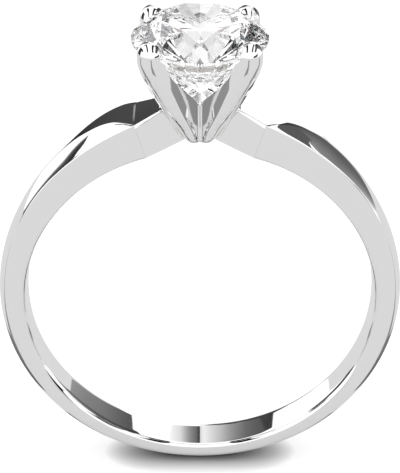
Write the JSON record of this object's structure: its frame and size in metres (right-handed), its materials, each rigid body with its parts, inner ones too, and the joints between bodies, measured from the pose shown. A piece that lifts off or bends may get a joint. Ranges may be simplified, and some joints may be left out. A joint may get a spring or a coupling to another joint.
{
  "type": "engagement ring",
  "caption": "Solitaire engagement ring: a round brilliant held by claws on a tapered polished white metal shank.",
  "frame": {"origin": "centre of the finger hole, midway along the ring's axis", "axes": "+Y along the finger hole away from the viewer, +Z from the finger hole's centre towards the stone's table, +X to the right"},
  "size_m": [0.02, 0.0064, 0.0246],
  "materials": {
    "shank_metal": "mirror polished white gold",
    "bridge_metal": "mirror polished white gold",
    "post_metal": "polished white gold, slightly soft in the corners",
    "claw_metal": "mirror polished white gold",
    "solder_metal": "polished white solder fillet",
    "diamond": "colourless round brilliant diamond, polished facets"
  },
  "bodies": {
    "root": {"shank": "shank_metal", "bridge_left": "bridge_metal", "bridge_right": "bridge_metal", "centre_post": "post_metal", "claw_front_left": "claw_metal", "claw_front_right": "claw_metal", "claw_back_left": "claw_metal", "claw_back_right": "claw_metal", "solder_front_left": "solder_metal", "solder_front_right": "solder_metal", "solder_back_left": "solder_metal", "solder_back_right": "solder_metal", "diamond": "diamond"}
  },
  "joints": []
}
